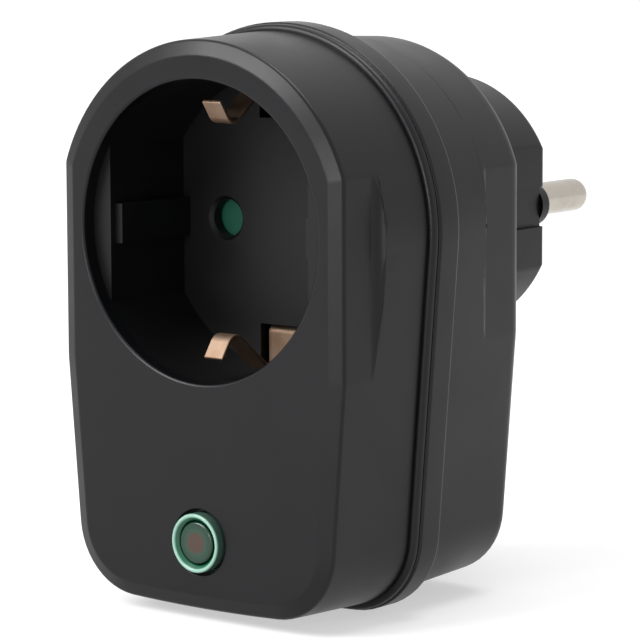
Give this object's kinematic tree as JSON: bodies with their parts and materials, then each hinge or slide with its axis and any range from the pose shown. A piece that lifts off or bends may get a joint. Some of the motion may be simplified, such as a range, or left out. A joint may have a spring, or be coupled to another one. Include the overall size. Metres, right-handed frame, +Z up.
{
  "type": "residual current device adapter",
  "caption": "Plug-through adapter with a round recessed socket in front, a round plug with pins at the back and a green-ringed test button below the socket.",
  "frame": {"origin": "Middle of the plug's contact face, on the axis that the socket and the plug share.", "axes": "+X to the right seen from the socket side, +Y the way the plug pins point, +Z up. The socket faces -Y."},
  "size_m": [0.0546, 0.0775, 0.0801],
  "materials": {
    "housing_plastic": "black satin moulded plastic",
    "socket_plastic": "black satin moulded plastic of the recess",
    "shutter_plastic": "dark green moulded plastic",
    "ring_plastic": "pale green translucent plastic",
    "button_plastic": "green translucent plastic",
    "lamp_resin": "tinted epoxy resin",
    "pin_nickel": "nickel-plated brass",
    "clip_bronze": "spring bronze strip",
    "contact_brass": "stamped brass",
    "copper": "copper",
    "steel": "zinc-plated steel",
    "spring_steel": "spring steel wire",
    "relay_plastic": "pale insulating plastic",
    "board_laminate": "green glass-fibre laminate",
    "varistor_coat": "blue epoxy coat",
    "capacitor_sleeve": "black sleeve on an aluminium can",
    "chip_resin": "black moulded resin",
    "resistor_coat": "beige lacquer",
    "core_iron": "wound iron strip in a coat"
  },
  "bodies": {
    "housing": {"front_shell": "housing_plastic", "rear_shell": "housing_plastic", "socket_cup": "socket_plastic", "pin_bridge": "housing_plastic", "shutter_cover": "socket_plastic", "shutter_spring": "spring_steel", "light_ring": "ring_plastic", "button_lamp": "lamp_resin", "button_spring": "spring_steel", "test_switch": "chip_resin", "pin_left": "pin_nickel", "pin_right": "pin_nickel", "earth_clip_upper": "clip_bronze", "earth_clip_lower": "clip_bronze", "earth_bridge": "contact_brass", "plug_earth_strip_upper": "contact_brass", "plug_earth_strip_lower": "contact_brass", "contact_sleeve_left": "contact_brass", "contact_sleeve_right": "contact_brass", "circuit_board": "board_laminate", "varistor": "varistor_coat", "capacitor": "capacitor_sleeve", "control_chip": "chip_resin", "resistors": "resistor_coat", "rectifier": "chip_resin", "housing_screws": "steel", "transformer_core": "core_iron", "transformer_winding": "copper", "conductor_left": "copper", "conductor_right": "copper", "relay_base": "relay_plastic", "relay_yoke": "steel", "relay_coil": "copper", "fixed_contacts": "contact_brass", "armature_spring": "spring_steel"},
    "button": {"test_button": "button_plastic"},
    "shutter_disc": {"shutter": "shutter_plastic"},
    "armature": {"relay_armature": "steel", "contact_carrier": "relay_plastic", "moving_contacts": "copper"}
  },
  "joints": [
    {"name": "test_button_press", "type": "slide", "parent": "housing", "child": "button", "axis": [0, 1, 0], "range_m": [0, 0.0012], "stiffness_N_per_m": 800, "springref_m": -0.0005, "deforming": ["button_spring"]},
    {"name": "shutter_turn", "type": "hinge", "parent": "housing", "child": "shutter_disc", "pos_m": [0, -0.0392, 0], "axis": [0, 1, 0], "range_deg": [0, 40], "stiffness_Nm_per_rad": 0.002, "springref_deg": -17.19},
    {"name": "armature_swing", "type": "hinge", "parent": "housing", "child": "armature", "pos_m": [-0.0095, -0.03505, -0.0248], "axis": [1, 0, 0], "range_deg": [0, 4.5], "stiffness_Nm_per_rad": 0.02, "springref_deg": -5.73}
  ]
}
